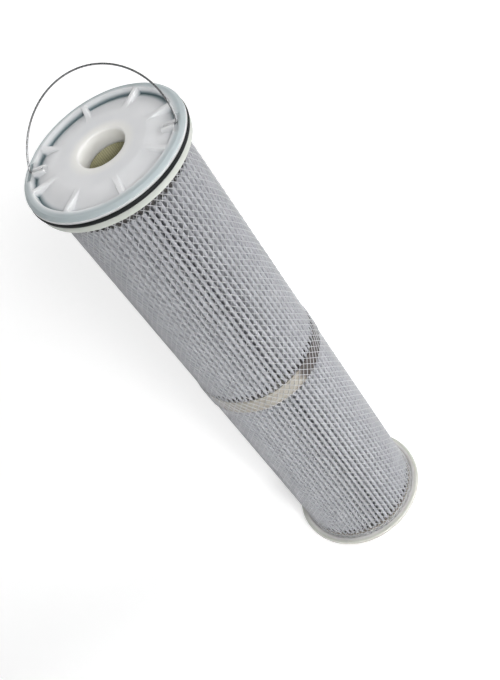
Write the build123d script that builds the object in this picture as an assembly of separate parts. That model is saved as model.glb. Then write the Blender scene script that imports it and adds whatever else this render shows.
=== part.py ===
from build123d import *
import math
import os

os.makedirs("parts", exist_ok=True)

# Pleated filter cartridge, two modules long, with an open flanged end and a blind end.
# Frame: +Z along the cartridge axis, origin at the middle of the blind end's outer face.
# The wire bail turns about an axis along X, and leans towards +Y.

# Overall layout along the axis
PLEAT_LENGTH = 312.0          # pleats in sight on one module, between its two end rings
JOINT_LENGTH = 20.4           # both joint rings together, between the two packs
SEAT_DEPTH = 2.0              # pleats and core stand this deep in the tray of each end ring

# Pleat pack
PLEAT_COUNT = 72
PLEAT_TIP_RADIUS = 74.4
PLEAT_FOLD_RADIUS = 31.2
SHEET_THICKNESS = 0.9
TIP_WIDTH = 3.8               # a pleat's outer fold, across its shoulders
TIP_CROWN_HEIGHT = 1.3

# Core
CORE_INNER_RADIUS = 27.0
CORE_WALL = 3.0
CORE_WINDOW_COLUMNS = 8
CORE_WINDOW_ROWS = 3
CORE_WINDOW_WIDTH = 14.0
CORE_WINDOW_PITCH = 100.0
CORE_WINDOW_BRIDGE = 12.0     # closed band between two rows of windows

# Passage down the middle
BORE_RADIUS = 25.6
SPIGOT_HEIGHT = 4.0
FIT_CLEARANCE = 0.1
CAP_BORE_LENGTH = 20.5        # from the rim's face down to the upper core's end

# End rings of the packs
TRAY_CLEARANCE = 0.2
TRAY_LIP = 1.2
JOINT_BEAD_WIDTH = 1.5        # full-size bead beside the pleats
JOINT_WAIST_DEPTH = 0.6       # the joint rings are this much slimmer between their beads
TOP_RING_THICKNESS = 2.0
BLIND_RING_EDGE = 2.5         # the blind cap's edge beside the pleats

# Netting sleeve
NET_SIDES = 24
NET_CLEARANCE = 0.15
NET_THICKNESS = 1.0
NET_STRAND_WIDTH = 3.0
NET_ROWS = 8                  # rows of whole meshes between the two rows of half meshes
NET_HOOP_WIDTH = 6.0
NET_GROOVE_DEPTH = 1.5
NET_GROOVE_CLEARANCE = 0.3

# Open end cap
RIM_RADIUS = 90.0
RIM_EDGE_DROP = 4.2
RIM_SHOULDER_WIDTH = 3.5
RIM_SHOULDER_DROP = 1.2
RIM_BAND_WIDTH = 12.0
RIM_EDGE_HEIGHT = 3.8
SKIRT_RADIUS = 88.4
SKIRT_HEIGHT = 7.7
SKIRT_TAPER_HEIGHT = 6.5
NECK_RADIUS = 70.0
NECK_HEIGHT = 4.5
NECK_WALL = 3.0
TUBE_WALL = 3.0               # wall of the tube around the upper core's end
CAP_PLATE = 12.5              # thickness of the cap's top, above the hollow under it
HOLE_ROUNDING = 2.5

# Pockets in the two caps
POCKET_COUNT = 8
POCKET_DEPTH = 8.5
POCKET_INNER_RADIUS = 50.0
POCKET_RIB = 6.0

# O-ring
O_RING_SECTION = 5.3
O_RING_PROUD = 0.4            # the O-ring stands out past the rim
O_RING_SIDE_GAP = 0.25

# Bail and its seats in the rim
WIRE_RADIUS = 1.0
WIRE_RUNNING_CLEARANCE = 0.06
BAIL_RADIUS = 82.5
BAIL_CENTRE_DROP = 2.5        # the arc's centre lies this far below the hinge axis
BAIL_BEND_RADIUS = 2.4
BAIL_TAIL = 14.5              # from the arc's foot inwards
BAIL_TILT = 45.0              # above the rim plane, leaning back
BAIL_AXIS_DEPTH = 1.9
BOSS_WIDTH = 9.5
BOSS_LENGTH = 14.0
SLIT_WIDTH = 1.3
SLOT_LENGTH = 26.0
SLOT_MARGIN_IN = 0.6          # the slot opens this far inside the wire's bend
SLOT_MARGIN_OUT = 0.6
SLOT_FLOOR_GAP = 0.35
TAIL_SINK_RADIUS = 1.7

# Blind end cap
BLIND_RADIUS = 85.0
BLIND_EDGE_DROP = 3.4
BLIND_BAND_WIDTH = 14.0
BLIND_EDGE_HEIGHT = 4.6
BLIND_WAIST_RADIUS = 70.0
BLIND_WAIST_HEIGHT = 3.5
BLIND_POCKET_DEPTH = 3.2
BLIND_POCKET_INNER_RADIUS = 36.0
BLIND_POCKET_RIB = 5.0
BLIND_DIMPLE_RADIUS = 27.0
BLIND_DIMPLE_DEPTH = 1.6
GATE_RADIUS = 3.2
GATE_HEIGHT = 1.2

# Worked out across the axis
ring_radius = PLEAT_TIP_RADIUS + TRAY_CLEARANCE + TRAY_LIP
tray_radius = PLEAT_TIP_RADIUS + TRAY_CLEARANCE
spigot_radius = CORE_INNER_RADIUS - FIT_CLEARANCE
core_socket_radius = CORE_INNER_RADIUS + CORE_WALL + FIT_CLEARANCE
net_half_angle = math.pi / NET_SIDES
net_inner_corner = (ring_radius + NET_CLEARANCE) / math.cos(net_half_angle)
net_outer_corner = net_inner_corner + NET_THICKNESS
net_groove_radius = net_outer_corner + NET_GROOVE_CLEARANCE
o_ring_centre_radius = RIM_RADIUS + O_RING_PROUD - O_RING_SECTION / 2
o_ring_groove_radius = o_ring_centre_radius - O_RING_SECTION / 2
o_ring_groove_height = O_RING_SECTION + 2 * O_RING_SIDE_GAP
pocket_outer_radius = RIM_RADIUS - RIM_BAND_WIDTH + 1.0
blind_face_radius = BLIND_RADIUS - BLIND_BAND_WIDTH
bail_foot = math.sqrt(BAIL_RADIUS ** 2 - BAIL_CENTRE_DROP ** 2)
bend_rise = BAIL_BEND_RADIUS + BAIL_CENTRE_DROP
bend_centre = math.sqrt((BAIL_RADIUS - BAIL_BEND_RADIUS) ** 2 - bend_rise ** 2)
tail_end = bail_foot - BAIL_TAIL

# Worked out along the axis, from the blind end's face up
blind_underside = BLIND_EDGE_DROP + BLIND_EDGE_HEIGHT
blind_ring_bottom = blind_underside + BLIND_WAIST_HEIGHT
lower_pleat_start = blind_ring_bottom + BLIND_RING_EDGE
lower_seat = lower_pleat_start - SEAT_DEPTH
lower_pleat_end = lower_pleat_start + PLEAT_LENGTH
joint_seam = lower_pleat_end + JOINT_LENGTH / 2
upper_pleat_start = lower_pleat_end + JOINT_LENGTH
upper_seat = upper_pleat_start - SEAT_DEPTH
upper_pleat_end = upper_pleat_start + PLEAT_LENGTH
top_ring_top = upper_pleat_end + TOP_RING_THICKNESS
skirt_bottom = top_ring_top + NECK_HEIGHT
skirt_edge = skirt_bottom + SKIRT_TAPER_HEIGHT
groove_bottom = skirt_edge + SKIRT_HEIGHT
groove_top = groove_bottom + o_ring_groove_height
rim_edge = groove_top + RIM_EDGE_HEIGHT
rim_top = rim_edge + RIM_EDGE_DROP
net_bottom = blind_underside - NET_GROOVE_DEPTH
net_top = skirt_bottom + NET_GROOVE_DEPTH
bail_axis_height = rim_top - BAIL_AXIS_DEPTH
cap_bore_bottom = rim_top - CAP_BORE_LENGTH


def turned(points):
    """A solid turned about Z from its half section, given as (radius, height)."""
    section = make_face(Polyline(*[(radius, 0, height) for radius, height in points], close=True))
    return revolve(section, Axis.Z)


def polar(radius, offset, angle):
    """The point at a radius and a sideways offset from the ray at this angle, in radians."""
    return (
        radius * math.cos(angle) - offset * math.sin(angle),
        radius * math.sin(angle) + offset * math.cos(angle),
    )


def pleat_pack(bottom, top):
    """One sheet folded in and out all the way round and joined to itself."""
    pitch = 2 * math.pi / PLEAT_COUNT
    shoulder = PLEAT_TIP_RADIUS - TIP_CROWN_HEIGHT
    valley = PLEAT_FOLD_RADIUS + SHEET_THICKNESS
    outside = []
    inside = []
    for index in range(PLEAT_COUNT):
        tip = index * pitch
        fold = tip + pitch / 2
        outside.append(polar(shoulder, -TIP_WIDTH / 2, tip))
        outside.append(polar(PLEAT_TIP_RADIUS, 0, tip))
        outside.append(polar(shoulder, TIP_WIDTH / 2, tip))
        outside.append(polar(valley, 0, fold))
        inner_half = TIP_WIDTH / 2 - SHEET_THICKNESS
        inside.append(polar(shoulder, -inner_half, tip))
        inside.append(polar(shoulder, inner_half, tip))
        inside.append(polar(PLEAT_FOLD_RADIUS, -SHEET_THICKNESS, fold))
        inside.append(polar(PLEAT_FOLD_RADIUS, SHEET_THICKNESS, fold))
    sheet = make_face(Polyline(*outside, close=True)) - make_face(Polyline(*inside, close=True))
    return Pos(0, 0, bottom) * extrude(sheet, top - bottom)


def core(bottom, top, pleat_start):
    """The cage that the pleats' inner folds lean on, with rows of tall windows."""
    outer_radius = CORE_INNER_RADIUS + CORE_WALL
    tube = Circle(outer_radius) - Circle(CORE_INNER_RADIUS)
    cage = Pos(0, 0, bottom) * extrude(tube, top - bottom)
    window_height = CORE_WINDOW_PITCH - CORE_WINDOW_BRIDGE
    middle_row = (CORE_WINDOW_ROWS - 1) / 2
    windows = []
    for row in range(CORE_WINDOW_ROWS):
        height = pleat_start + PLEAT_LENGTH / 2 + (row - middle_row) * CORE_WINDOW_PITCH
        for column in range(CORE_WINDOW_COLUMNS // 2):
            turn = Rot(0, 0, column * 360 / CORE_WINDOW_COLUMNS)
            box = Box(4 * CORE_INNER_RADIUS, CORE_WINDOW_WIDTH, window_height)
            windows.append(turn * Pos(0, 0, height) * box)
    return cage - windows


def netting():
    """A many-sided sleeve with crossing strands, open in diamonds between them."""
    outer = RegularPolygon(net_outer_corner, NET_SIDES)
    inner = RegularPolygon(net_inner_corner, NET_SIDES)
    length = net_top - net_bottom
    sleeve = extrude(outer - inner, length)
    step = (length - 2 * NET_HOOP_WIDTH) / (NET_ROWS + 1)
    side = 2 * net_outer_corner * math.sin(net_half_angle)
    slant = math.hypot(side, step)
    half_width = side - NET_STRAND_WIDTH / 2 * slant / step
    half_height = step - NET_STRAND_WIDTH / 2 * slant / side
    reach = net_outer_corner + NET_THICKNESS
    columns = NET_SIDES // 2
    openings = []
    for row in range(NET_ROWS + 2):
        height = NET_HOOP_WIDTH + row * step
        low = 0 if row == 0 else -half_height
        high = 0 if row == NET_ROWS + 1 else half_height
        corners = [(-half_width, 0), (0, low), (half_width, 0), (0, high)]
        if low == 0 or high == 0:
            corners.remove((0, 0))
        outline = make_face(Polyline(*corners, close=True))
        prism = extrude(Plane.YZ * outline, reach)
        for column in range(columns):
            turn = Rot(0, 0, (2 * column + row % 2) * 360 / NET_SIDES)
            openings.append(turn * Pos(0, 0, height) * prism)
    return Pos(0, 0, net_bottom) * (sleeve - openings)


def pockets(inner_radius, outer_radius, depth, rib):
    """Wedges between straight ribs, from nothing at the inner radius to full depth outside.

    They are cut downwards into a face at height 0.
    """
    wedge = turned([
        (inner_radius, 0),
        (outer_radius, -depth),
        (outer_radius, depth),
        (inner_radius, depth),
    ])
    spoke = Box(2 * outer_radius, rib, 4 * depth)
    spokes = []
    for index in range(POCKET_COUNT // 2):
        spokes.append(Rot(0, 0, (index + 0.5) * 360 / POCKET_COUNT) * spoke)
    return wedge - spokes


def tray_points(floor, mouth):
    """The stepped face that a pack stands in, from the bore outwards."""
    up = 1 if mouth > floor else -1
    spigot_end = floor + up * SPIGOT_HEIGHT
    return [
        (BORE_RADIUS, spigot_end),
        (spigot_radius, spigot_end),
        (spigot_radius, floor),
        (tray_radius, floor),
        (tray_radius, mouth),
        (ring_radius, mouth),
    ]


def joint_ring(mouth, direction):
    """A pack's ring at the joint: a tray for the pack, a bead, and a slimmer waist."""
    floor = mouth + direction * SEAT_DEPTH
    bead = mouth + direction * JOINT_BEAD_WIDTH
    waist_radius = ring_radius - JOINT_WAIST_DEPTH
    points = tray_points(floor, mouth)
    points += [
        (ring_radius, bead),
        (waist_radius, bead),
        (waist_radius, joint_seam),
        (BORE_RADIUS, joint_seam),
    ]
    return turned(points)


def top_ring():
    """The flat ring that seals the upper pack's end, around the core."""
    ring = Circle(tray_radius) - Circle(core_socket_radius)
    return Pos(0, 0, upper_pleat_end) * extrude(ring, TOP_RING_THICKNESS)


def open_end_cap():
    """The flanged cap: rim, O-ring groove, skirt, neck, core socket and pocketed face."""
    tube_radius = core_socket_radius + TUBE_WALL
    hollow_top = rim_top - CAP_PLATE
    cap = turned([
        (core_socket_radius, top_ring_top),
        (core_socket_radius, cap_bore_bottom),
        (BORE_RADIUS, cap_bore_bottom),
        (BORE_RADIUS, rim_top),
        (RIM_RADIUS - RIM_BAND_WIDTH, rim_top),
        (RIM_RADIUS - RIM_SHOULDER_WIDTH, rim_top - RIM_SHOULDER_DROP),
        (RIM_RADIUS, rim_edge),
        (RIM_RADIUS, groove_top),
        (o_ring_groove_radius, groove_top),
        (o_ring_groove_radius, groove_bottom),
        (SKIRT_RADIUS, groove_bottom),
        (SKIRT_RADIUS, skirt_edge),
        (net_groove_radius + 1.0, skirt_bottom),
        (net_groove_radius, skirt_bottom),
        (net_groove_radius, net_top),
        (ring_radius, net_top),
        (ring_radius, skirt_bottom),
        (NECK_RADIUS, skirt_bottom),
        (NECK_RADIUS, top_ring_top),
        (NECK_RADIUS - NECK_WALL, top_ring_top),
        (NECK_RADIUS - NECK_WALL, hollow_top),
        (tube_radius, hollow_top),
        (tube_radius, top_ring_top),
    ])
    top_circles = cap.edges().filter_by(GeomType.CIRCLE).group_by(Axis.Z)[-1]
    cap = fillet(top_circles.sort_by(SortBy.RADIUS)[0], HOLE_ROUNDING)
    cap -= Pos(0, 0, rim_top) * pockets(
        POCKET_INNER_RADIUS, pocket_outer_radius, POCKET_DEPTH, POCKET_RIB
    )
    for side in (1, -1):
        cap = bail_seat(cap, side)
    return cap


def bail_seat(cap, side):
    """One end's boss, snap-in bore and leg slot, on the +X or -X side."""
    boss_height = POCKET_DEPTH + 1.0
    boss_start = pocket_outer_radius - BOSS_LENGTH
    boss = Box(BOSS_LENGTH + 1.0, BOSS_WIDTH, boss_height, align=(Align.MIN, Align.CENTER, Align.MAX))
    cap += Pos(boss_start if side > 0 else -pocket_outer_radius - 1.0, 0, rim_top) * boss
    slot_in = bend_centre - SLOT_MARGIN_IN
    slot_out = bail_foot + WIRE_RADIUS + SLOT_MARGIN_OUT
    slot_depth = BAIL_AXIS_DEPTH + WIRE_RADIUS + SLOT_FLOOR_GAP
    slot = Box(slot_out - slot_in, SLOT_LENGTH, 2 * slot_depth)
    cap -= Pos(side * (slot_in + slot_out) / 2, 0, rim_top) * slot
    bore_length = slot_out - tail_end
    bore = Cylinder(WIRE_RADIUS + WIRE_RUNNING_CLEARANCE, bore_length)
    middle = side * (tail_end + bore_length / 2)
    cap -= Pos(middle, 0, bail_axis_height) * Rot(0, 90, 0) * bore
    slit = Box(bore_length, SLIT_WIDTH, 2 * BAIL_AXIS_DEPTH)
    cap -= Pos(middle, 0, rim_top) * slit
    sink_depth = BAIL_AXIS_DEPTH + WIRE_RADIUS + SLOT_FLOOR_GAP
    sink = Cylinder(TAIL_SINK_RADIUS, 2 * sink_depth)
    return cap - Pos(side * tail_end, 0, rim_top) * sink


def o_ring():
    """The seal in the rim's groove."""
    height = (groove_bottom + groove_top) / 2
    return Pos(0, 0, height) * Torus(o_ring_centre_radius, O_RING_SECTION / 2)


def bail_handle():
    """A wire bail: an arc between two small bends, with inward tails on the hinge axis."""
    arc_top = BAIL_RADIUS - BAIL_CENTRE_DROP
    bend = BAIL_BEND_RADIUS
    lean = math.atan2(bend_rise, bend_centre)
    bend_end = (BAIL_RADIUS * math.cos(lean), BAIL_RADIUS * math.sin(lean) - BAIL_CENTRE_DROP)
    half_turn = (math.pi / 2 + lean) / 2
    bend_middle = (bend_centre + bend * math.sin(half_turn), bend - bend * math.cos(half_turn))
    plane = Plane(origin=(0, 0, bail_axis_height), x_dir=(1, 0, 0), z_dir=tilted_normal())
    pieces = [
        Line((-tail_end, 0), (-bend_centre, 0)),
        ThreePointArc((-bend_centre, 0), mirrored(bend_middle), mirrored(bend_end)),
        ThreePointArc(mirrored(bend_end), (0, arc_top), bend_end),
        ThreePointArc(bend_end, bend_middle, (bend_centre, 0)),
        Line((bend_centre, 0), (tail_end, 0)),
    ]
    path = plane * Wire(pieces)
    section = Plane(origin=path @ 0, z_dir=path % 0) * Circle(WIRE_RADIUS)
    return sweep(section, path=path)


def mirrored(point):
    """The same point on the other side of the bail."""
    return (-point[0], point[1])


def tilted_normal():
    """The bail plane's normal, for its tilt above the rim."""
    tilt = math.radians(BAIL_TILT)
    return (0, -math.sin(tilt), math.cos(tilt))


def blind_end_cap():
    """The closed cap: a pocketed face, a thin edge, a waist and a tray for the lower pack."""
    points = [
        (0, 0),
        (blind_face_radius, 0),
        (BLIND_RADIUS, BLIND_EDGE_DROP),
        (BLIND_RADIUS, blind_underside),
        (net_groove_radius, blind_underside),
        (net_groove_radius, net_bottom),
        (ring_radius, net_bottom),
        (ring_radius, blind_underside),
        (BLIND_WAIST_RADIUS, blind_underside),
        (BLIND_WAIST_RADIUS, blind_ring_bottom),
        (ring_radius, blind_ring_bottom),
        (ring_radius, lower_pleat_start),
        (tray_radius, lower_pleat_start),
        (tray_radius, lower_seat),
        (spigot_radius, lower_seat),
        (spigot_radius, lower_seat + SPIGOT_HEIGHT),
        (0, lower_seat + SPIGOT_HEIGHT),
    ]
    cap = turned(points)
    cut = pockets(
        BLIND_POCKET_INNER_RADIUS, blind_face_radius - 1.0, BLIND_POCKET_DEPTH, BLIND_POCKET_RIB
    )
    cap -= Rot(180, 0, 0) * cut
    dimple = Cylinder(BLIND_DIMPLE_RADIUS, 2 * BLIND_DIMPLE_DEPTH)
    gate_bottom = BLIND_DIMPLE_DEPTH - GATE_HEIGHT
    gate = Pos(0, 0, gate_bottom) * Cylinder(
        GATE_RADIUS, GATE_HEIGHT, align=(Align.CENTER, Align.CENTER, Align.MIN)
    )
    return cap - dimple + gate


nodes = {
    "open_end_cap": open_end_cap(),
    "rim_o_ring": o_ring(),
    "bail_handle": bail_handle(),
    "upper_pack_top_ring": top_ring(),
    "upper_pleat_pack": pleat_pack(upper_seat, upper_pleat_end),
    "upper_core": core(upper_seat, cap_bore_bottom - FIT_CLEARANCE, upper_pleat_start),
    "upper_joint_ring": joint_ring(upper_pleat_start, -1),
    "lower_joint_ring": joint_ring(lower_pleat_end, 1),
    "lower_pleat_pack": pleat_pack(lower_seat, lower_pleat_end + SEAT_DEPTH),
    "lower_core": core(lower_seat, lower_pleat_end + SEAT_DEPTH, lower_pleat_start),
    "blind_end_cap": blind_end_cap(),
    "outer_netting": netting(),
}

for name, solid in nodes.items():
    export_step(solid, f"parts/{name}.step")

print("pleats", lower_pleat_start, lower_pleat_end, upper_pleat_start, upper_pleat_end, "rim top", rim_top)
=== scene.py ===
import math

import bmesh
import bpy
import numpy as np
from mathutils import Matrix, Vector

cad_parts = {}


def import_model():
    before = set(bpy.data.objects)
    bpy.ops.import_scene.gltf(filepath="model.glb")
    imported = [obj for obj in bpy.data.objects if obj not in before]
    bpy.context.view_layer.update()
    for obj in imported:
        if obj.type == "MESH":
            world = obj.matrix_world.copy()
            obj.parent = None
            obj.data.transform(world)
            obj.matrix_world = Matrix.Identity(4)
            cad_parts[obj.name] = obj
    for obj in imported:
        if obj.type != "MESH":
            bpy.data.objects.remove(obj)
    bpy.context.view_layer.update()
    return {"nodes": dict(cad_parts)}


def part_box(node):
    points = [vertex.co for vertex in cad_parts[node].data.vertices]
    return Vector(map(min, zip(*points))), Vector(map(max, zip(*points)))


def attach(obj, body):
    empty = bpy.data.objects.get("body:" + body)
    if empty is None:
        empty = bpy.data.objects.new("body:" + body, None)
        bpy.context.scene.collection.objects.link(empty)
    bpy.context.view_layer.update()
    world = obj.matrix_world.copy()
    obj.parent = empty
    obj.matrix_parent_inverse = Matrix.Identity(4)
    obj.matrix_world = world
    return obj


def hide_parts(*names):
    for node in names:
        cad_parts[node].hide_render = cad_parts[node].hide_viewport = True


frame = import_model()
MM = 0.001
random = np.random.default_rng(7)

# Places along the axis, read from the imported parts, in metres
cap_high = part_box("open_end_cap")[1]
blind_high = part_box("blind_end_cap")[1]
ring_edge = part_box("upper_joint_ring")[1].x
top_ring_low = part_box("upper_pack_top_ring")[0].z
joint_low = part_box("lower_joint_ring")[0].z
joint_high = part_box("upper_joint_ring")[1].z
net_low, net_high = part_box("outer_netting")
rim_top = cap_high.z / MM
rim_radius = cap_high.x / MM


# Mesh helpers

def mesh_object(name, vertices, faces, material, smooth=True):
    """A new object from plain lists, in metres."""
    mesh = bpy.data.meshes.new(name)
    mesh.from_pydata([tuple(v) for v in vertices], [], faces)
    mesh.validate()
    mesh.polygons.foreach_set("use_smooth", [smooth] * len(mesh.polygons))
    mesh.materials.append(material)
    made = bpy.data.objects.new(name, mesh)
    bpy.context.scene.collection.objects.link(made)
    return made


def grid_faces(rows, columns, wrap_rows=False, wrap_columns=True, start=0):
    """Quads of a grid of points, stored row by row."""
    faces = []
    for row in range(rows if wrap_rows else rows - 1):
        above = (row + 1) % rows
        for column in range(columns if wrap_columns else columns - 1):
            beside = (column + 1) % columns
            faces.append((
                start + row * columns + column,
                start + row * columns + beside,
                start + above * columns + beside,
                start + above * columns + column,
            ))
    return faces


def face_outwards(made):
    """Turns every face of a closed mesh outwards."""
    edit = bmesh.new()
    edit.from_mesh(made.data)
    bmesh.ops.recalc_face_normals(edit, faces=edit.faces)
    edit.to_mesh(made.data)
    edit.free()


def sharpen(made, degrees):
    """Marks edges sharper than this angle, so that flat faces stay flat."""
    made.data.set_sharp_from_angle(angle=math.radians(degrees))


def finish_piece(made, body, slot, *replaced):
    """Puts a piece on its body and lets it stand for its nodes."""
    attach(made, body)
    if replaced:
        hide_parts(*replaced)


# Materials

def new_material(name):
    """A material with one Principled shader."""
    material = bpy.data.materials.new(name)
    material.use_nodes = True
    nodes = material.node_tree.nodes
    return material, nodes, material.node_tree.links, nodes["Principled BSDF"]


def noise_value(nodes, links, scale, detail=3.0, stretch=(1, 1, 1)):
    """A noise in object space, stretched along the axes, 0 to 1."""
    place = nodes.new("ShaderNodeTexCoord")
    mapping = nodes.new("ShaderNodeMapping")
    mapping.inputs["Scale"].default_value = stretch
    noise = nodes.new("ShaderNodeTexNoise")
    noise.inputs["Scale"].default_value = scale
    noise.inputs["Detail"].default_value = detail
    links.new(place.outputs["Object"], mapping.inputs["Vector"])
    links.new(mapping.outputs["Vector"], noise.inputs["Vector"])
    return noise.outputs["Fac"]


def ramp(nodes, links, value, stops):
    """A colour ramp over a value, from (position, colour) stops."""
    node = nodes.new("ShaderNodeValToRGB")
    elements = node.color_ramp.elements
    elements[0].position, elements[0].color = stops[0][0], (*stops[0][1], 1)
    elements[1].position, elements[1].color = stops[-1][0], (*stops[-1][1], 1)
    for position, colour in stops[1:-1]:
        element = elements.new(position)
        element.color = (*colour, 1)
    links.new(value, node.inputs["Fac"])
    return node.outputs["Color"]


def value_ramp(nodes, links, value, low, high):
    """A noise's value, mostly from 0.3 to 0.7, moved into low to high."""
    node = nodes.new("ShaderNodeMapRange")
    node.inputs["From Min"].default_value = 0.3
    node.inputs["From Max"].default_value = 0.7
    node.inputs["To Min"].default_value = low
    node.inputs["To Max"].default_value = high
    links.new(value, node.inputs["Value"])
    return node.outputs["Result"]


def bump(nodes, links, shader, value, distance, strength=1.0):
    """A bump of this height in metres on the shader's normal."""
    node = nodes.new("ShaderNodeBump")
    node.inputs["Distance"].default_value = distance
    node.inputs["Strength"].default_value = strength
    links.new(value, node.inputs["Height"])
    links.new(node.outputs["Normal"], shader.inputs["Normal"])


def object_place(nodes, links):
    """Distance from the axis, height and azimuth of a point of the object."""
    place = nodes.new("ShaderNodeTexCoord")
    parts = nodes.new("ShaderNodeSeparateXYZ")
    links.new(place.outputs["Object"], parts.inputs["Vector"])
    flat = nodes.new("ShaderNodeCombineXYZ")
    links.new(parts.outputs["X"], flat.inputs["X"])
    links.new(parts.outputs["Y"], flat.inputs["Y"])
    length = nodes.new("ShaderNodeVectorMath")
    length.operation = "LENGTH"
    links.new(flat.outputs["Vector"], length.inputs[0])
    azimuth = calculate(nodes, links, "ARCTAN2", parts.outputs["Y"], parts.outputs["X"])
    return length.outputs["Value"], parts.outputs["Z"], azimuth


def calculate(nodes, links, operation, first, second=None):
    """A sum, product or the like of two values or numbers."""
    node = nodes.new("ShaderNodeMath")
    node.operation = operation
    for socket, value in zip(node.inputs, (first, second)):
        if isinstance(value, (int, float)):
            socket.default_value = value
        elif value is not None:
            links.new(value, socket)
    return node.outputs["Value"]


def soft_range(nodes, links, value, start, stop):
    """0 where the value is at the start, 1 at the stop, and smooth between."""
    node = nodes.new("ShaderNodeMapRange")
    node.interpolation_type = "SMOOTHSTEP"
    node.inputs["From Min"].default_value = min(start, stop)
    node.inputs["From Max"].default_value = max(start, stop)
    node.inputs["To Min"].default_value = 0 if start < stop else 1
    node.inputs["To Max"].default_value = 1 if start < stop else 0
    links.new(value, node.inputs["Value"])
    return node.outputs["Result"]


def blend(nodes, links, share, first, second):
    """The first colour where the share is 0, the second where it is 1."""
    node = nodes.new("ShaderNodeMix")
    node.data_type = "RGBA"
    links.new(share, node.inputs["Factor"])
    for socket, colour in ((node.inputs["A"], first), (node.inputs["B"], second)):
        if isinstance(colour, tuple):
            socket.default_value = (*colour, 1)
        else:
            links.new(colour, socket)
    return node.outputs["Result"]


def zone(nodes, links, place, radius_fade, height_fade):
    """A share from fades by radius and by height, each given in mm from 0 to 1."""
    radius, height = place[:2]
    shares = [
        soft_range(nodes, links, value, start * MM, stop * MM)
        for value, (start, stop) in ((radius, radius_fade), (height, height_fade))
    ]
    return calculate(nodes, links, "MULTIPLY", *shares)


def below_rim(*depths):
    """Heights in mm from depths below the rim's top."""
    return tuple(rim_top - depth for depth in depths)


# Where the caps' plastic changes colour, some of it painted shade and painted light, as (fade by
# radius, fade by height) in mm
# painted shade: the rim's band goes teal grey
RIM_BAND_SHADE = ((77.5, 85.0), below_rim(5.5, 4.5))
# painted shade: the pockets' outer walls go dark teal
POCKET_WALL_SHADE = ((71.5, 78.5), below_rim(2.5, 8.0))
ABOVE_POCKET_FLOOR = ((80.0, 79.5), below_rim(10.5, 9.0))
# painted light: the bore and the face round it brighten to cream
BORE_PAINTED_LIGHT = ((40.0, 25.0), below_rim(30.0, 28.0))
UNDER_RIM = ((79.0, 83.0), below_rim(7.0, 7.6))
BLIND_LIP = ((75.0, 79.0), (8.3, 7.0))
# the closed cap's waist and tray: a dark brown band, its beige deepened by painted shade
BLIND_RING_FOOT = (7.8, 8.4)
BLIND_RING_HEAD = (30.0, 20.0)


def milky_plastic():
    """Milky polypropylene: white, greyer below the rim, with painted shade on the rim's band and
    the pockets' walls, painted light round the bore, and on the closed cap a beige grey lip and a
    dark brown band, beige deepened by painted shade.
    """
    material, nodes, links, shader = new_material("milky_polypropylene")
    cloud = noise_value(nodes, links, 28, 2)
    white = ramp(nodes, links, cloud, [
        (0.3, (0.76, 0.77, 0.785)),
        (0.7, (0.81, 0.815, 0.83)),
    ])
    place = object_place(nodes, links)
    # painted shade on the pockets' outer walls
    pocket = calculate(
        nodes, links, "MULTIPLY",
        zone(nodes, links, place, *POCKET_WALL_SHADE),
        zone(nodes, links, place, *ABOVE_POCKET_FLOOR)
    )
    # the closed cap's band: beige deepened by painted shade
    blind_band_beige_and_shade = calculate(
        nodes, links, "MULTIPLY",
        soft_range(nodes, links, place[1], *(height * MM for height in BLIND_RING_FOOT)),
        soft_range(nodes, links, place[1], *(height * MM for height in BLIND_RING_HEAD))
    )
    colour = white
    for share, tint in (
        (zone(nodes, links, place, *UNDER_RIM), (0.54, 0.565, 0.52)),
        # painted shade on the rim's band
        (zone(nodes, links, place, *RIM_BAND_SHADE), (0.43, 0.485, 0.50)),
        # painted shade on the pockets' walls
        (pocket, (0.20, 0.27, 0.29)),
        # painted light round the bore
        (zone(nodes, links, place, *BORE_PAINTED_LIGHT), (0.91, 0.90, 0.85)),
        # beige with painted shade on the closed cap's band
        (blind_band_beige_and_shade, (0.17, 0.145, 0.11)),
        (zone(nodes, links, place, *BLIND_LIP), (0.46, 0.44, 0.40)),
    ):
        colour = blend(nodes, links, share, colour, tint)
    links.new(colour, shader.inputs["Base Color"])
    shader.inputs["Subsurface Weight"].default_value = 1.0
    shader.inputs["Subsurface Radius"].default_value = (1.0, 1.0, 1.0)
    shader.inputs["Subsurface Scale"].default_value = 0.018
    shader.inputs["IOR"].default_value = 1.49
    grain = noise_value(nodes, links, 60, 4)
    links.new(value_ramp(nodes, links, grain, 0.34, 0.46), shader.inputs["Roughness"])
    fine = noise_value(nodes, links, 1400, 2)
    bump(nodes, links, shader, fine, 0.00003, 0.6)
    return material


# Painted shade at the pleats' ends, near black in the folds and under the cap's skirt: height,
# depth (negative downwards), and whether the shade reaches the tips
PACK_END_SHADE = [
    (blind_high.z, 0.004, False),
    (joint_low, -0.004, False),
    (joint_high, 0.004, False),
    (top_ring_low, -0.005, True),
]
FOLDS_FADE = (0.0740, 0.0728)  # behind the pleats' tips, from none to all, in metres


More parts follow.
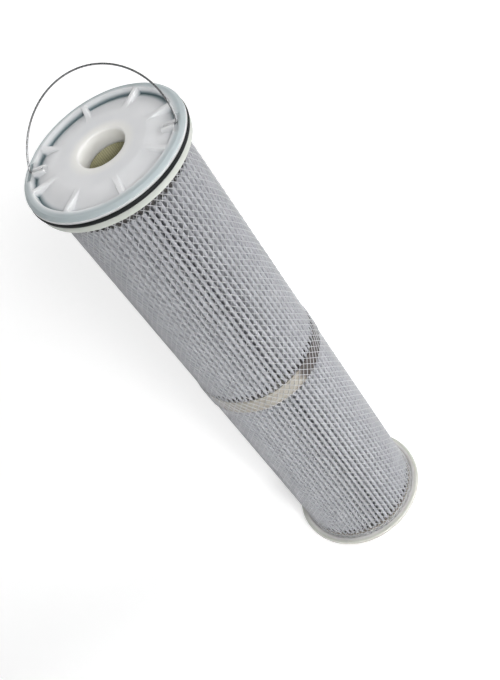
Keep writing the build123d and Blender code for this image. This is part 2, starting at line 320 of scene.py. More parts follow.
def filter_media():
    """Spunbonded white polyester, with short fibres, a faint grey unevenness and painted shade near
    black at the pack's ends.
    """
    material, nodes, links, shader = new_material("polyester_media")
    cloud = noise_value(nodes, links, 160, 5, (1, 1, 0.4))
    colour = ramp(nodes, links, cloud, [
        (0.25, (0.30, 0.305, 0.33)),
        (0.75, (0.45, 0.455, 0.48)),
    ])
    radius, height = object_place(nodes, links)[:2]
    folds = soft_range(nodes, links, radius, *FOLDS_FADE)
    # painted shade: the folds go near black close to each end, and right out to the tips under the
    # skirt
    for edge, deep, to_tips in PACK_END_SHADE:
        near = soft_range(nodes, links, height, edge + deep, edge + deep * 0.7)
        if not to_tips:
            near = calculate(nodes, links, "MULTIPLY", near, folds)
        beyond = soft_range(nodes, links, height, edge - deep * 1.5, edge - deep * 0.5)
        dark = calculate(nodes, links, "MULTIPLY", near, beyond)
        colour = blend(nodes, links, dark, colour, (0.045, 0.042, 0.040))
    links.new(colour, shader.inputs["Base Color"])
    shader.inputs["Roughness"].default_value = 0.85
    shader.inputs["Specular IOR Level"].default_value = 0.25
    shader.inputs["Sheen Weight"].default_value = 0.1
    fibres = noise_value(nodes, links, 900, 5, (1, 1, 0.5))
    bump(nodes, links, shader, fibres, 0.0003, 0.9)
    return material


def net_plastic():
    """Extruded netting: white, slightly glossy strands."""
    material, nodes, links, shader = new_material("white_netting")
    cloud = noise_value(nodes, links, 120, 2)
    colour = ramp(nodes, links, cloud, [
        (0.3, (0.38, 0.385, 0.40)),
        (0.7, (0.46, 0.465, 0.48)),
    ])
    links.new(colour, shader.inputs["Base Color"])
    links.new(value_ramp(nodes, links, cloud, 0.32, 0.45), shader.inputs["Roughness"])
    shader.inputs["IOR"].default_value = 1.49
    return material


# The darker side of the joint rings, as azimuths in radians where it fades in and out
DARKER_SIDE_START = (-0.62, -0.46)
DARKER_SIDE_END = (1.3, 1.0)


def ring_plastic():
    """The joint rings' beige plastic, with faint brown streaks and one side darker."""
    material, nodes, links, shader = new_material("beige_ring_plastic")
    streaks = noise_value(nodes, links, 30, 4, (1, 1, 6))
    beige = ramp(nodes, links, streaks, [
        (0.3, (0.25, 0.22, 0.185)),
        (0.5, (0.34, 0.32, 0.275)),
        (0.72, (0.40, 0.38, 0.335)),
    ])
    azimuth = object_place(nodes, links)[2]
    ragged = calculate(nodes, links, "MULTIPLY", noise_value(nodes, links, 60, 3), 0.3)
    place = calculate(nodes, links, "ADD", azimuth, ragged)
    darker_side = calculate(
        nodes, links, "MULTIPLY",
        soft_range(nodes, links, place, *DARKER_SIDE_START),
        soft_range(nodes, links, place, *DARKER_SIDE_END)
    )
    colour = blend(nodes, links, darker_side, beige, (0.055, 0.045, 0.04))
    links.new(colour, shader.inputs["Base Color"])
    links.new(value_ramp(nodes, links, streaks, 0.38, 0.52), shader.inputs["Roughness"])
    grain = noise_value(nodes, links, 500, 3)
    bump(nodes, links, shader, grain, 0.00005, 0.5)
    return material


def painted_shade_ring_finish():
    """Near black for the ring that closes the upper pack's end: painted shade under the cap's
    skirt.
    """
    material, nodes, links, shader = new_material("painted_shade_black_ring")
    cloud = noise_value(nodes, links, 80, 3)
    colour = ramp(nodes, links, cloud, [
        (0.3, (0.020, 0.018, 0.016)),
        (0.7, (0.045, 0.040, 0.036)),
    ])
    links.new(colour, shader.inputs["Base Color"])
    shader.inputs["Roughness"].default_value = 0.6
    return material


CORE_GROOVES = 72


def core_plastic():
    """The core's yellowish plastic, with fine ridges along it and painted shade in the grooves
    between them.
    """
    material, nodes, links, shader = new_material("olive_core_plastic")
    azimuth = object_place(nodes, links)[2]
    turns = calculate(nodes, links, "MULTIPLY", azimuth, CORE_GROOVES / 2)
    wave = calculate(nodes, links, "ABSOLUTE", calculate(nodes, links, "SINE", turns))
    # painted shade: the grooves between the ridges go dark
    groove = soft_range(nodes, links, wave, 0.45, 0.05)
    cloud = noise_value(nodes, links, 45, 3, (1, 1, 0.3))
    olive = ramp(nodes, links, cloud, [
        (0.3, (0.42, 0.40, 0.23)),
        (0.7, (0.52, 0.50, 0.33)),
    ])
    colour = blend(nodes, links, groove, olive, (0.20, 0.19, 0.12))
    links.new(colour, shader.inputs["Base Color"])
    shader.inputs["Roughness"].default_value = 0.5
    bump(nodes, links, shader, wave, 0.0004, 0.6)
    return material


def seal_rubber():
    """Black rubber with a dull, faintly dusty skin."""
    material, nodes, links, shader = new_material("black_rubber")
    dust = noise_value(nodes, links, 90, 4)
    colour = ramp(nodes, links, dust, [
        (0.4, (0.003, 0.004, 0.0045)),
        (0.8, (0.008, 0.009, 0.010)),
    ])
    links.new(colour, shader.inputs["Base Color"])
    links.new(value_ramp(nodes, links, dust, 0.50, 0.65), shader.inputs["Roughness"])
    shader.inputs["Specular IOR Level"].default_value = 0.2
    grain = noise_value(nodes, links, 1200, 3)
    bump(nodes, links, shader, grain, 0.00004, 0.4)
    return material


def steel_wire():
    """Drawn stainless wire."""
    material, nodes, links, shader = new_material("drawn_steel_wire")
    scratch = noise_value(nodes, links, 150, 4)
    colour = ramp(nodes, links, scratch, [
        (0.3, (0.27, 0.275, 0.28)),
        (0.7, (0.31, 0.315, 0.32)),
    ])
    links.new(colour, shader.inputs["Base Color"])
    shader.inputs["Metallic"].default_value = 1.0
    links.new(value_ramp(nodes, links, scratch, 0.22, 0.34), shader.inputs["Roughness"])
    grain = noise_value(nodes, links, 2500, 2)
    bump(nodes, links, shader, grain, 0.00001, 0.4)
    return material


plastic = milky_plastic()
media = filter_media()
netting_white = net_plastic()
ring_beige = ring_plastic()
painted_shade_black = painted_shade_ring_finish()
core_olive = core_plastic()
rubber = seal_rubber()
steel = steel_wire()


# End caps: a turned section whose face carries pockets between ribs. Sizes here are in mm.

POCKET_COUNT = 8
FULL_WIDTH_RADIUS = 30.0      # the columns beside the ribs draw together inside this
WALL_SPREAD = 1.5             # a pocket's wall leans this much from top to bottom
BORE_RADIUS = 25.6
BORE_LENGTH = 20.5
HOLE_ROUNDING = 2.5
CORE_SOCKET_RADIUS = 30.1
TUBE_RADIUS = 33.1
HOLLOW_DEPTH = 12.5
POCKET_DEPTH = 8.5
POCKET_INNER = 50.0
POCKET_OUTER = 79.0
POCKET_RIB = 6.0
BOSS_WIDTH = 9.5
BOSS_LENGTH = 14.0
POCKET_CURVE = 1.35           # how the pockets' floors bend down outwards, 1 for straight
FLAT_RADIUS = 78.0
BAND_MIDDLE = 82.0
SHOULDER = (86.5, 1.2)        # radius, and how far below the rim's top
RIM_EDGE = 4.2                # heights of the rim, all below its top
GROOVE_TOP = 7.8
GROOVE_BOTTOM = 14.2
GROOVE_RADIUS = 84.4
SEAL_SECTION = 6.2
SEAL_REACH = 0.6              # the seal stands out past the rim's edge
SKIRT_RADIUS = 88.4
SKIRT_EDGE = 21.5
SKIRT_BOTTOM = 28.0
NECK_RADIUS = 70.0
NECK_WALL = 3.0
NECK_BOTTOM = 32.5
NET_GROOVE = (75.8, 77.9, 1.5)  # inner and outer radius, and depth
BLIND_FACE_RADIUS = 71.2
BLIND_RADIUS = 85.0
BLIND_EDGE_LOW = 3.4
BLIND_EDGE_HIGH = 8.0
BLIND_WAIST_RADIUS = 70.0
TRAY_LOW = 11.5
TRAY_FLOOR = 12.0
TRAY_TOP = 14.0
TRAY_RADIUS = 75.8
TRAY_INNER_RADIUS = 74.6
SPIGOT_RADIUS = 26.9
SPIGOT_TOP = 16.0
AXIS_RADIUS = 0.8             # the smallest ring of points, closed by one face
BLIND_POCKET_DEPTH = 3.2
BLIND_POCKET_INNER = 36.0
BLIND_POCKET_OUTER = 70.0
BLIND_RIB = 5.0
DIMPLE_RADIUS = 27.0
DIMPLE_DEPTH = 1.6
GATE_RADIUS = 3.2
GATE_HEIGHT = 1.2


def smooth_step(value):
    """0 up to 0, 1 from 1 on, and smooth between."""
    value = min(max(value, 0.0), 1.0)
    return value * value * (3 - 2 * value)


def wall(distance):
    """0 before a pocket's wall, 1 past it, rounded at both ends."""
    return smooth_step(distance / WALL_SPREAD + 0.5)


def around(edge, spread=WALL_SPREAD):
    """Places just before, on and just past a wall, so that its rounding has points."""
    return [edge + spread * share for share in (-0.9, -0.5, -0.25, 0, 0.25, 0.5, 0.9)]


def rounded_section(corners):
    """Points of a section from (radius, height, rounding), in mm, open at both ends."""
    points = []
    for index, (x, y, rounding) in enumerate(corners):
        if rounding == 0:
            points.append((x, y))
            continue
        here = Vector((x, y))
        before = Vector(corners[index - 1][:2]) - here
        after = Vector(corners[index + 1][:2]) - here
        reach = min(
            rounding / math.tan(before.angle(after) / 2), 0.45 * before.length, 0.45 * after.length
        )
        first = here + before.normalized() * reach
        last = here + after.normalized() * reach
        for share in (0, 0.25, 0.5, 0.75, 1):
            point = first * (1 - share) ** 2 + here * 2 * share * (1 - share) + last * share ** 2
            points.append((point.x, point.y))
    return points


def cap_columns(radius, rib_width, boss_width):
    """Angles of the columns all the way round, lined up with ribs and bosses, with each
    column's sideways distance from its rib and from its pocket's middle."""
    squeeze = min(1.0, radius / FULL_WIDTH_RADIUS)
    half_sector = math.pi / POCKET_COUNT
    rib_offsets = [0] + around(rib_width / 2)
    middle_offsets = list(reversed([0] + around(boss_width / 2)))
    half = [math.asin(offset * squeeze / radius) for offset in rib_offsets]
    inner = [half_sector - math.asin(offset * squeeze / radius) for offset in middle_offsets]
    between = list(np.linspace(half[-1], inner[0], 8)[1:-1])
    half = half + between + inner
    sector = half + [2 * half_sector - angle for angle in reversed(half[1:-1])]
    columns = []
    for index in range(POCKET_COUNT):
        rib = (index + 0.5) * 2 * half_sector
        for angle in sector:
            beside_rib = radius * math.sin(min(angle, 2 * half_sector - angle))
            beside_middle = radius * math.sin(abs(angle - half_sector))
            columns.append((rib + angle, beside_rib, beside_middle, index + 1))
    return columns


def moulded_cap(name, face_radii, face_height, section, rib_width, boss_width, closed):
    """A cap from its face, a height for every point of it, and its turned section.

    A closed section wraps round to the face, and an open one ends on the axis.
    """
    rings = [(radius, None) for radius in face_radii] + section
    vertices = []
    for radius, height in rings:
        for angle, beside_rib, beside_middle, pocket in cap_columns(radius, rib_width, boss_width):
            z = face_height(radius, beside_rib, beside_middle, pocket) if height is None else height
            vertices.append((
                radius * math.cos(angle) * MM, radius * math.sin(angle) * MM, z * MM
            ))
    columns = len(vertices) // len(rings)
    faces = grid_faces(len(rings), columns, wrap_rows=closed)
    if not closed:
        faces.append(tuple(range(columns)))
        last = (len(rings) - 1) * columns
        faces.append(tuple(range(last, last + columns)))
    cap = mesh_object(name, vertices, faces, plastic)
    face_outwards(cap)
    return cap


def band_drop(radius):
    """How far the rim's band has sloped down at this radius."""
    return max(radius - FLAT_RADIUS, 0) * SHOULDER[1] / (SHOULDER[0] - FLAT_RADIUS)


def open_face_height(radius, beside_rib, beside_middle, pocket):
    """The open cap's face: pockets that deepen outwards, and a boss in two of them."""
    reach = (radius - POCKET_INNER) / (POCKET_OUTER - POCKET_INNER)
    depth = POCKET_DEPTH * min(max(reach, 0), 1) ** POCKET_CURVE
    depth *= wall(beside_rib - POCKET_RIB / 2) * (1 - wall(radius - POCKET_OUTER))
    if pocket in (POCKET_COUNT // 2, POCKET_COUNT):
        boss = 1 - wall(beside_middle - BOSS_WIDTH / 2)
        boss *= wall(radius - POCKET_OUTER + BOSS_LENGTH)
        depth *= 1 - boss
    return rim_top - depth - band_drop(radius)


def blind_face_height(radius, beside_rib, beside_middle, pocket):
    """The blind cap's face, seen from below: shallow pockets, a dimple and the gate's mark."""
    reach = (radius - BLIND_POCKET_INNER) / (BLIND_POCKET_OUTER - BLIND_POCKET_INNER)
    depth = BLIND_POCKET_DEPTH * min(max(reach, 0), 1)
    depth *= wall(beside_rib - BLIND_RIB / 2) * (1 - wall(radius - BLIND_POCKET_OUTER))
    depth += DIMPLE_DEPTH * (1 - wall(radius - DIMPLE_RADIUS))
    depth -= GATE_HEIGHT * (1 - wall(radius - GATE_RADIUS))
    return depth


def open_end_cap():
    """The flanged cap: pocketed face, rim, seal groove, skirt, neck and core socket."""
    start = BORE_RADIUS + HOLE_ROUNDING
    radii = [start, 30, 33, 37, 41, 45, 48, 50, 52, 55, 58, 61, 63]
    radii += around(POCKET_OUTER - BOSS_LENGTH) + [67.5, 70, 72, 74, 76, 77.5]
    radii += around(POCKET_OUTER)
    groove_in, groove_out, groove_depth = NET_GROOVE
    section = [
        (BAND_MIDDLE, band_drop(BAND_MIDDLE), 0),
        (*SHOULDER, 1.2),
        (rim_radius, RIM_EDGE, 0.9),
        (rim_radius, GROOVE_TOP, 0.35),
        (GROOVE_RADIUS, GROOVE_TOP, 0.2),
        (GROOVE_RADIUS, GROOVE_BOTTOM, 0.2),
        (SKIRT_RADIUS, GROOVE_BOTTOM, 0.6),
        (SKIRT_RADIUS, SKIRT_EDGE, 0.8),
        (groove_out + 1.0, SKIRT_BOTTOM, 0.6),
        (groove_out, SKIRT_BOTTOM, 0.1),
        (groove_out, SKIRT_BOTTOM - groove_depth, 0.1),
        (groove_in, SKIRT_BOTTOM - groove_depth, 0.1),
        (groove_in, SKIRT_BOTTOM, 0.1),
        (NECK_RADIUS, SKIRT_BOTTOM, 0.5),
        (NECK_RADIUS, NECK_BOTTOM, 0.1),
        (NECK_RADIUS - NECK_WALL, NECK_BOTTOM, 0.1),
        (NECK_RADIUS - NECK_WALL, HOLLOW_DEPTH, 1.5),
        (TUBE_RADIUS, HOLLOW_DEPTH, 1.5),
        (TUBE_RADIUS, NECK_BOTTOM, 0.1),
        (CORE_SOCKET_RADIUS, NECK_BOTTOM, 0.1),
        (CORE_SOCKET_RADIUS, BORE_LENGTH, 0.1),
        (BORE_RADIUS, BORE_LENGTH, 0.3),
        (BORE_RADIUS, HOLE_ROUNDING, 0),
    ]
    points = [(radius, rim_top - depth) for radius, depth in rounded_section(section)]
    for degrees in (15, 30, 45, 60, 75):
        lean = math.radians(degrees)
        out = start - HOLE_ROUNDING * math.cos(lean)
        points.append((out, rim_top - HOLE_ROUNDING * (1 - math.sin(lean))))
    return moulded_cap(
        "open_cap_moulding", radii, open_face_height, points, POCKET_RIB, BOSS_WIDTH, closed=True
    )


def blind_end_cap():
    """The closed cap, with its pocketed face below and the lower pack's tray on top."""
    radii = [AXIS_RADIUS, 2.0] + around(GATE_RADIUS) + [6, 10, 15, 20, 24] + around(DIMPLE_RADIUS)
    radii += [30, 33, 36, 39, 44, 49, 54, 59, 63, 66, 68] + around(BLIND_POCKET_OUTER)
    groove_in, groove_out, groove_depth = NET_GROOVE
    section = rounded_section([
        (BLIND_FACE_RADIUS, 0.05, 0),
        (BLIND_RADIUS, BLIND_EDGE_LOW, 0.9),
        (BLIND_RADIUS, BLIND_EDGE_HIGH, 0.8),
        (groove_out, BLIND_EDGE_HIGH, 0.1),
        (groove_out, BLIND_EDGE_HIGH - groove_depth, 0.1),
        (groove_in, BLIND_EDGE_HIGH - groove_depth, 0.1),
        (groove_in, BLIND_EDGE_HIGH, 0.1),
        (BLIND_WAIST_RADIUS, BLIND_EDGE_HIGH, 0.4),
        (BLIND_WAIST_RADIUS, TRAY_LOW, 0.3),
        (TRAY_RADIUS, TRAY_LOW, 0.4),
        (TRAY_RADIUS, TRAY_TOP, 0.4),
        (TRAY_INNER_RADIUS, TRAY_TOP, 0.2),
        (TRAY_INNER_RADIUS, TRAY_FLOOR, 0.1),
        (SPIGOT_RADIUS, TRAY_FLOOR, 0.1),
        (SPIGOT_RADIUS, SPIGOT_TOP, 0.4),
        (AXIS_RADIUS, SPIGOT_TOP, 0),
    ])
    return moulded_cap(
        "blind_cap_moulding", radii, blind_face_height, section, BLIND_RIB, BOSS_WIDTH, closed=False
    )


def seal_ring():
    """The seal in the rim's groove, a full round section that fills it."""
    rings, sides = 160, 28
    cord_radius = SEAL_SECTION / 2
    centre = rim_radius + SEAL_REACH - cord_radius
    middle = rim_top - (GROOVE_TOP + GROOVE_BOTTOM) / 2
    vertices = []
    for ring in range(rings):
        angle = 2 * math.pi * ring / rings
        for side in range(sides):
            turn = 2 * math.pi * side / sides
            out = centre + cord_radius * math.cos(turn)
            z = middle + cord_radius * math.sin(turn)
            vertices.append((out * math.cos(angle) * MM, out * math.sin(angle) * MM, z * MM))
    seal = mesh_object("rim_seal", vertices, grid_faces(rings, sides, wrap_rows=True), rubber)
    face_outwards(seal)
    return seal


# Bail seats, cut into the open cap
BAIL_FOOT = 82.46             # the arc's foot, on the hinge axis
BEND_CENTRE = 79.95
TAIL_END = 67.96
WIRE_RADIUS = 1.0
RUNNING_CLEARANCE = 0.06
AXIS_DEPTH = 1.9
SLOT_MARGIN = 0.6
SLOT_LENGTH = 26.0
SLIT_WIDTH = 1.3
SINK_RADIUS = 1.7
SEAT_DEPTH = 3.25
PAST_FACE = 5.0


def box_vertices(low, high):
    """The corners of a box, in the order that BOX_FACES counts them."""
    return [
        (x, y, z) for z in (low[2], high[2]) for y in (low[1], high[1]) for x in (low[0], high[0])
    ]


BOX_FACES = [(0, 2, 3, 1), (4, 5, 7, 6), (0, 1, 5, 4), (2, 6, 7, 3), (0, 4, 6, 2), (1, 3, 7, 5)]


def tube_vertices(centre, direction, radius, length, sides=32):
    """A closed cylinder from a centre of one end, along X or Z."""
    rings = []
    for along in (0, length):
        for index in range(sides):
            angle = 2 * math.pi * index / sides
            u = radius * math.cos(angle)
            v = radius * math.sin(angle)
            offset = (along, u, v) if direction == "x" else (u, v, along)
            rings.append(tuple(c + o for c, o in zip(centre, offset)))
    return rings


def tube_faces(sides=32):
    """The walls and both ends of a cylinder from tube_vertices."""
    faces = [(i, (i + 1) % sides, sides + (i + 1) % sides, sides + i) for i in range(sides)]
    return faces + [tuple(range(sides)), tuple(range(sides, 2 * sides))]


def seat_cutters(side):
    """The leg's slot, the tail's bore and slit, and the sink at the tail's end."""
    slot_in = BEND_CENTRE - SLOT_MARGIN
    slot_out = BAIL_FOOT + WIRE_RADIUS + SLOT_MARGIN
    near, far = sorted((side * slot_in, side * slot_out))
    start, stop = sorted((side * TAIL_END, side * slot_out))
    axis_z = rim_top - AXIS_DEPTH
    top = rim_top + PAST_FACE
    slot = box_vertices(
        (near, -SLOT_LENGTH / 2, rim_top - SEAT_DEPTH), (far, SLOT_LENGTH / 2, top)
    )
    slit = box_vertices((start, -SLIT_WIDTH / 2, axis_z), (stop, SLIT_WIDTH / 2, top))
    bore = tube_vertices((start, 0, axis_z), "x", WIRE_RADIUS + RUNNING_CLEARANCE, stop - start)
    sink = tube_vertices(
        (side * TAIL_END, 0, rim_top - SEAT_DEPTH), "z", SINK_RADIUS, SEAT_DEPTH + PAST_FACE
    )
    return [(slot, BOX_FACES), (slit, BOX_FACES), (bore, tube_faces()), (sink, tube_faces())]


def cut(target, cutters):
    """Takes each cutter out of the target for good."""
    for vertices, faces in cutters:
        corners = [(x * MM, y * MM, z * MM) for x, y, z in vertices]
        cutter = mesh_object("cutter", corners, faces, plastic)
        face_outwards(cutter)
        modifier = target.modifiers.new("cut", "BOOLEAN")
        modifier.operation = "DIFFERENCE"
        modifier.solver = "EXACT"
        modifier.object = cutter
        apply_modifiers(target)
        bpy.data.objects.remove(cutter)


def apply_modifiers(made):
    """Turns what the modifiers make into the object's own mesh."""
    bpy.context.view_layer.update()
    evaluated = made.evaluated_get(bpy.context.evaluated_depsgraph_get())
    mesh = bpy.data.meshes.new_from_object(evaluated)
    made.modifiers.clear()
    old = made.data
    made.data = mesh
    bpy.data.meshes.remove(old)


# Pleat packs
PLEAT_COUNT = 72
PLEAT_TIP = 74.4
PLEAT_FOLD = 31.2
SHEET = 0.9
TIP_HALF_WIDTH = 1.95
TIP_HEIGHT = 2.0
FLANK_RADIUS = 52.0           # a point on each flank, halfway from fold to tip
FLANK_TURN = 0.22             # its place as a share of the pitch
FLANK_OUTSIDE = 0.8           # and how far sideways the sheet's two faces are there
FLANK_INSIDE = 0.1
FOLD_HALF_WIDTH = 0.45
PLEAT_ROWS = 46
TIP_SWAY = 0.32               # a pleat's tip wanders this far sideways
TIP_RISE = 0.22


def pleat_profile():
    """One pleat as (sideways, radius, share of the pitch, share of the sway), from fold to fold.

    The first list is the sheet's outer face, and the second its inner one.
    """
    outer = []
    inner = []
    shoulder = PLEAT_TIP - TIP_HEIGHT
    outer.append((0, PLEAT_FOLD + SHEET, -0.5, 0))
    outer.append((-FLANK_OUTSIDE, FLANK_RADIUS, -FLANK_TURN, 0.5))
    for degrees in (180, 150, 120, 90, 60, 30, 0):
        angle = math.radians(degrees)
        outer.append((
            TIP_HALF_WIDTH * math.cos(angle), shoulder + TIP_HEIGHT * math.sin(angle), 0, 1
        ))
    outer.append((FLANK_OUTSIDE, FLANK_RADIUS, FLANK_TURN, 0.5))
    width = TIP_HALF_WIDTH - SHEET
    height = TIP_HEIGHT - SHEET
    inner.append((FOLD_HALF_WIDTH, PLEAT_FOLD, -0.5, 0))
    inner.append((-FLANK_INSIDE, FLANK_RADIUS, -FLANK_TURN, 0.5))
    for degrees in (180, 135, 90, 45, 0):
        angle = math.radians(degrees)
        inner.append((width * math.cos(angle), shoulder + height * math.sin(angle), 0, 1))
    inner.append((FLANK_INSIDE, FLANK_RADIUS, FLANK_TURN, 0.5))
    inner.append((-FOLD_HALF_WIDTH, PLEAT_FOLD, 0.5, 0))
    return outer, inner


def pleat_pack(name, node):
    """The folded sheet between its two end rings, each pleat a little uneven along its length."""
    low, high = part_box(node)
    outer, inner = pleat_profile()
    pitch = 2 * math.pi / PLEAT_COUNT
    phases = random.uniform(0, 2 * math.pi, (PLEAT_COUNT, 4))
    widths = random.uniform(0.90, 1.10, PLEAT_COUNT)
    rows = []
    for row in range(PLEAT_ROWS + 1):
        share = row / PLEAT_ROWS
        z = low.z + (high.z - low.z) * share
        held = math.sin(math.pi * share) ** 0.4
        loop_out, loop_in = [], []
        for index in range(PLEAT_COUNT):
            p = phases[index]
            sway = 0.6 * math.sin(2.1 * math.pi * share + p[0]) + 0.4 * math.sin(7.3 * share + p[1])
            rise = 0.6 * math.sin(3.7 * share + p[2]) + 0.4 * math.sin(17.0 * share + p[3]) - 1.0
            for loop, profile in ((loop_out, outer), (loop_in, inner)):
                for sideways, radius, turn, follow in profile:
                    side = sideways * (widths[index] if follow == 1 else 1)
                    side += TIP_SWAY * sway * follow * held
                    out = radius + TIP_RISE * rise * follow * held
                    angle = (index + turn) * pitch + side / out
                    loop.append((out * math.cos(angle) * MM, out * math.sin(angle) * MM, z))
        rows.append((loop_out, loop_in))
    outer_count = len(rows[0][0])
    inner_count = len(rows[0][1])
    vertices = []
    for loop_out, loop_in in rows:
        vertices += loop_out
    inner_start = len(vertices)
    for loop_out, loop_in in rows:
        vertices += loop_in
    faces = grid_faces(len(rows), outer_count)
    faces += grid_faces(len(rows), inner_count, start=inner_start)
    pack = mesh_object(name, vertices, faces, media)
    face_outwards(pack)
    return pack


# Netting
NET_STRANDS = 60              # in each direction
NET_PITCH_ANGLE = 36.0        # a strand leans this far from the axis
STRAND_RADIUS = 0.40
STRAND_SIDES = 7
STRAND_STEPS = 100
LAYER_GAP = 0.35              # the two layers of strands are fused, one a little further out
NET_SLOPE = 9.0               # the length over which the sleeve narrows from a ring to the pleats


def net_radius(z):
    """The sleeve's radius at a height: on the pleats' tips, and over the edges of the rings."""
    over_pleats = PLEAT_TIP + STRAND_RADIUS
    over_rings = ring_edge / MM + STRAND_RADIUS
    stretches = [
        (blind_high.z / MM, joint_low / MM),
        (joint_high / MM, top_ring_low / MM),
    ]
    for start, stop in stretches:
        if start <= z <= stop:
            inside = min(z - start, stop - z)
            return over_rings + (over_pleats - over_rings) * smooth_step(inside / NET_SLOPE)
    return over_rings


def strand(vertices, faces, start_angle, direction, layer):
    """One strand as a thin tube that winds round the pack."""
    low = net_low.z / MM
    length = net_high.z / MM - low
    lean = math.radians(NET_PITCH_ANGLE)
    turn_rate = math.tan(lean) / (PLEAT_TIP + STRAND_RADIUS)
    first = len(vertices)
    for step in range(STRAND_STEPS + 1):
        z = low + length * step / STRAND_STEPS
        angle = start_angle + direction * turn_rate * (z - low)
        middle = net_radius(z) + layer * LAYER_GAP / 2
        for side in range(STRAND_SIDES):
            turn = 2 * math.pi * side / STRAND_SIDES
            out = middle + STRAND_RADIUS * math.cos(turn)
            sideways = STRAND_RADIUS * math.sin(turn) / math.cos(lean)
            at = angle + sideways / middle
            vertices.append((out * math.cos(at) * MM, out * math.sin(at) * MM, z * MM))
    faces += grid_faces(STRAND_STEPS + 1, STRAND_SIDES, start=first)
    last = first + STRAND_STEPS * STRAND_SIDES
    faces.append(tuple(range(first, first + STRAND_SIDES)))
    faces.append(tuple(range(last, last + STRAND_SIDES)))


def netting():
    """The extruded sleeve: two layers of strands, crossing in diamonds."""
    vertices, faces = [], []
    for index in range(NET_STRANDS):
        angle = 2 * math.pi * index / NET_STRANDS
        strand(vertices, faces, angle, 1, -1)
        strand(vertices, faces, angle, -1, 1)
    net = mesh_object("netting_sleeve", vertices, faces, netting_white)
    face_outwards(net)
    return net


cap = open_end_cap()
cut(cap, seat_cutters(1) + seat_cutters(-1))
sharpen(cap, 50)
finish_piece(cap, "cartridge", "cap_plastic", "open_end_cap")

finish_piece(seal_ring(), "cartridge", "seal_rubber", "rim_o_ring")

blind = blind_end_cap()
sharpen(blind, 50)
finish_piece(blind, "cartridge", "cap_plastic", "blind_end_cap")

for level in ("upper", "lower"):
    pack = pleat_pack(f"{level}_pleats", f"{level}_pleat_pack")
    finish_piece(pack, "cartridge", "filter_media", f"{level}_pleat_pack")

net = netting()
finish_piece(net, "cartridge", "net_plastic", "outer_netting")


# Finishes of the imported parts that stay
FINISHES = {
    "bail_handle": steel,
    # painted shade: the top ring near black under the skirt
    "upper_pack_top_ring": painted_shade_black,
    "upper_joint_ring": ring_beige,
    "lower_joint_ring": ring_beige,
    "upper_core": core_olive,
    "lower_core": core_olive,
}
for node, material in FINISHES.items():
    for slot in frame["nodes"][node].material_slots:
        slot.material = material


# Floor, lights, world and camera

FLOOR_GLOW = 0.33             # to the camera and in reflections only
FAR_GLOW = 0.45               # FAR_GLOW = 0.45 # added to it far from the object, leaving a painted shadow near it
FAR_FADE = (0.7, 2.2)
WORLD_LIGHT = 0.33
MIDDLE = (0, 0, 0.4)
LOWER_MODULE = (0, 0, 0.12)


def floor():
    """A pale floor that shows white to the camera, with the object's shadow on it, and a painted
    shadow round the object where its glow is weaker.
    """
    material, nodes, links, shader = new_material("white_floor")
    shader.inputs["Base Color"].default_value = (0.88, 0.88, 0.88, 1)
    shader.inputs["Roughness"].default_value = 0.9
    glow = nodes.new("ShaderNodeEmission")
    path = nodes.new("ShaderNodeLightPath")
    seen = nodes.new("ShaderNodeMath")
    seen.operation = "MAXIMUM"
    links.new(path.outputs["Is Camera Ray"], seen.inputs[0])
    links.new(path.outputs["Is Glossy Ray"], seen.inputs[1])
    # painted shadow: the floor glows less near the object
    far = soft_range(nodes, links, object_place(nodes, links)[0], *FAR_FADE)
    added = calculate(nodes, links, "MULTIPLY", far, FAR_GLOW)
    strength = calculate(nodes, links, "ADD", added, FLOOR_GLOW)
    strength = calculate(nodes, links, "MULTIPLY", seen.outputs["Value"], strength)
    links.new(strength, glow.inputs["Strength"])
    both = nodes.new("ShaderNodeAddShader")
    links.new(shader.outputs["BSDF"], both.inputs[0])
    links.new(glow.outputs["Emission"], both.inputs[1])
    links.new(both.outputs["Shader"], nodes["Material Output"].inputs["Surface"])
    reach = 30.0
    made = mesh_object(
        "floor", [(-reach, -reach, 0), (reach, -reach, 0), (reach, reach, 0), (-reach, reach, 0)],
        [(0, 1, 2, 3)], material
    )


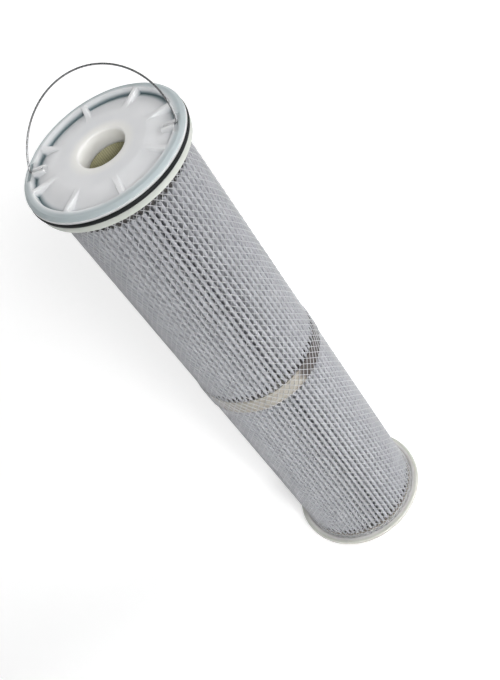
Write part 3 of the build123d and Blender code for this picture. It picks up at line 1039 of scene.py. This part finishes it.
def area_light(name, place, target, size, power, spread=180):
    """A round lamp that points at the target."""
    data = bpy.data.lights.new(name, "AREA")
    data.shape = "DISK"
    data.size = size
    data.energy = power
    data.spread = math.radians(spread)
    made = bpy.data.objects.new(name, data)
    made.location = place
    made.rotation_euler = (Vector(target) - Vector(place)).to_track_quat("-Z", "Y").to_euler()
    bpy.context.scene.collection.objects.link(made)


def world():
    """White all round to the camera, and a soft even light on the object."""
    background = bpy.data.worlds.new("studio")
    background.use_nodes = True
    nodes = background.node_tree.nodes
    links = background.node_tree.links
    path = nodes.new("ShaderNodeLightPath")
    strength = nodes.new("ShaderNodeMapRange")
    strength.inputs["To Min"].default_value = WORLD_LIGHT
    strength.inputs["To Max"].default_value = 1.0
    links.new(path.outputs["Is Camera Ray"], strength.inputs["Value"])
    nodes["Background"].inputs["Color"].default_value = (1.0, 1.0, 1.0, 1)
    links.new(strength.outputs["Result"], nodes["Background"].inputs["Strength"])
    bpy.context.scene.world = background


CAMERA_RIGHT = Vector((0.9041, 0.0275, -0.4263))
CAMERA_UP = Vector((0.2424, 0.7888, 0.5648))
CAMERA_BACK = Vector((0.3518, -0.6140, 0.7065))
CAMERA_PLACE = (0.4883, -0.8469, 1.3368)
CAMERA_LENS = 62.92
CAMERA_SENSOR = 36.0


def camera():
    """The camera that fits the photograph's view."""
    data = bpy.data.cameras.new("camera")
    data.sensor_fit = "AUTO"
    data.sensor_width = CAMERA_SENSOR
    data.lens = CAMERA_LENS
    made = bpy.data.objects.new("camera", data)
    turn = Matrix((CAMERA_RIGHT, CAMERA_UP, CAMERA_BACK)).transposed().to_4x4()
    made.matrix_world = Matrix.Translation(CAMERA_PLACE) @ turn
    bpy.context.scene.collection.objects.link(made)
    bpy.context.scene.camera = made


floor()
world()
area_light("side", (2.3, 0.7, 1.2), MIDDLE, 1.0, 26)
area_light("key", (1.25, -1.65, 2.0), MIDDLE, 0.7, 34)
area_light("back", (-1.7, 1.9, 1.7), MIDDLE, 1.2, 11)
area_light("low", (1.2, -1.3, 0.7), LOWER_MODULE, 0.5, 1.3, 45)
camera()
bpy.context.scene.view_settings.view_transform = "Standard"
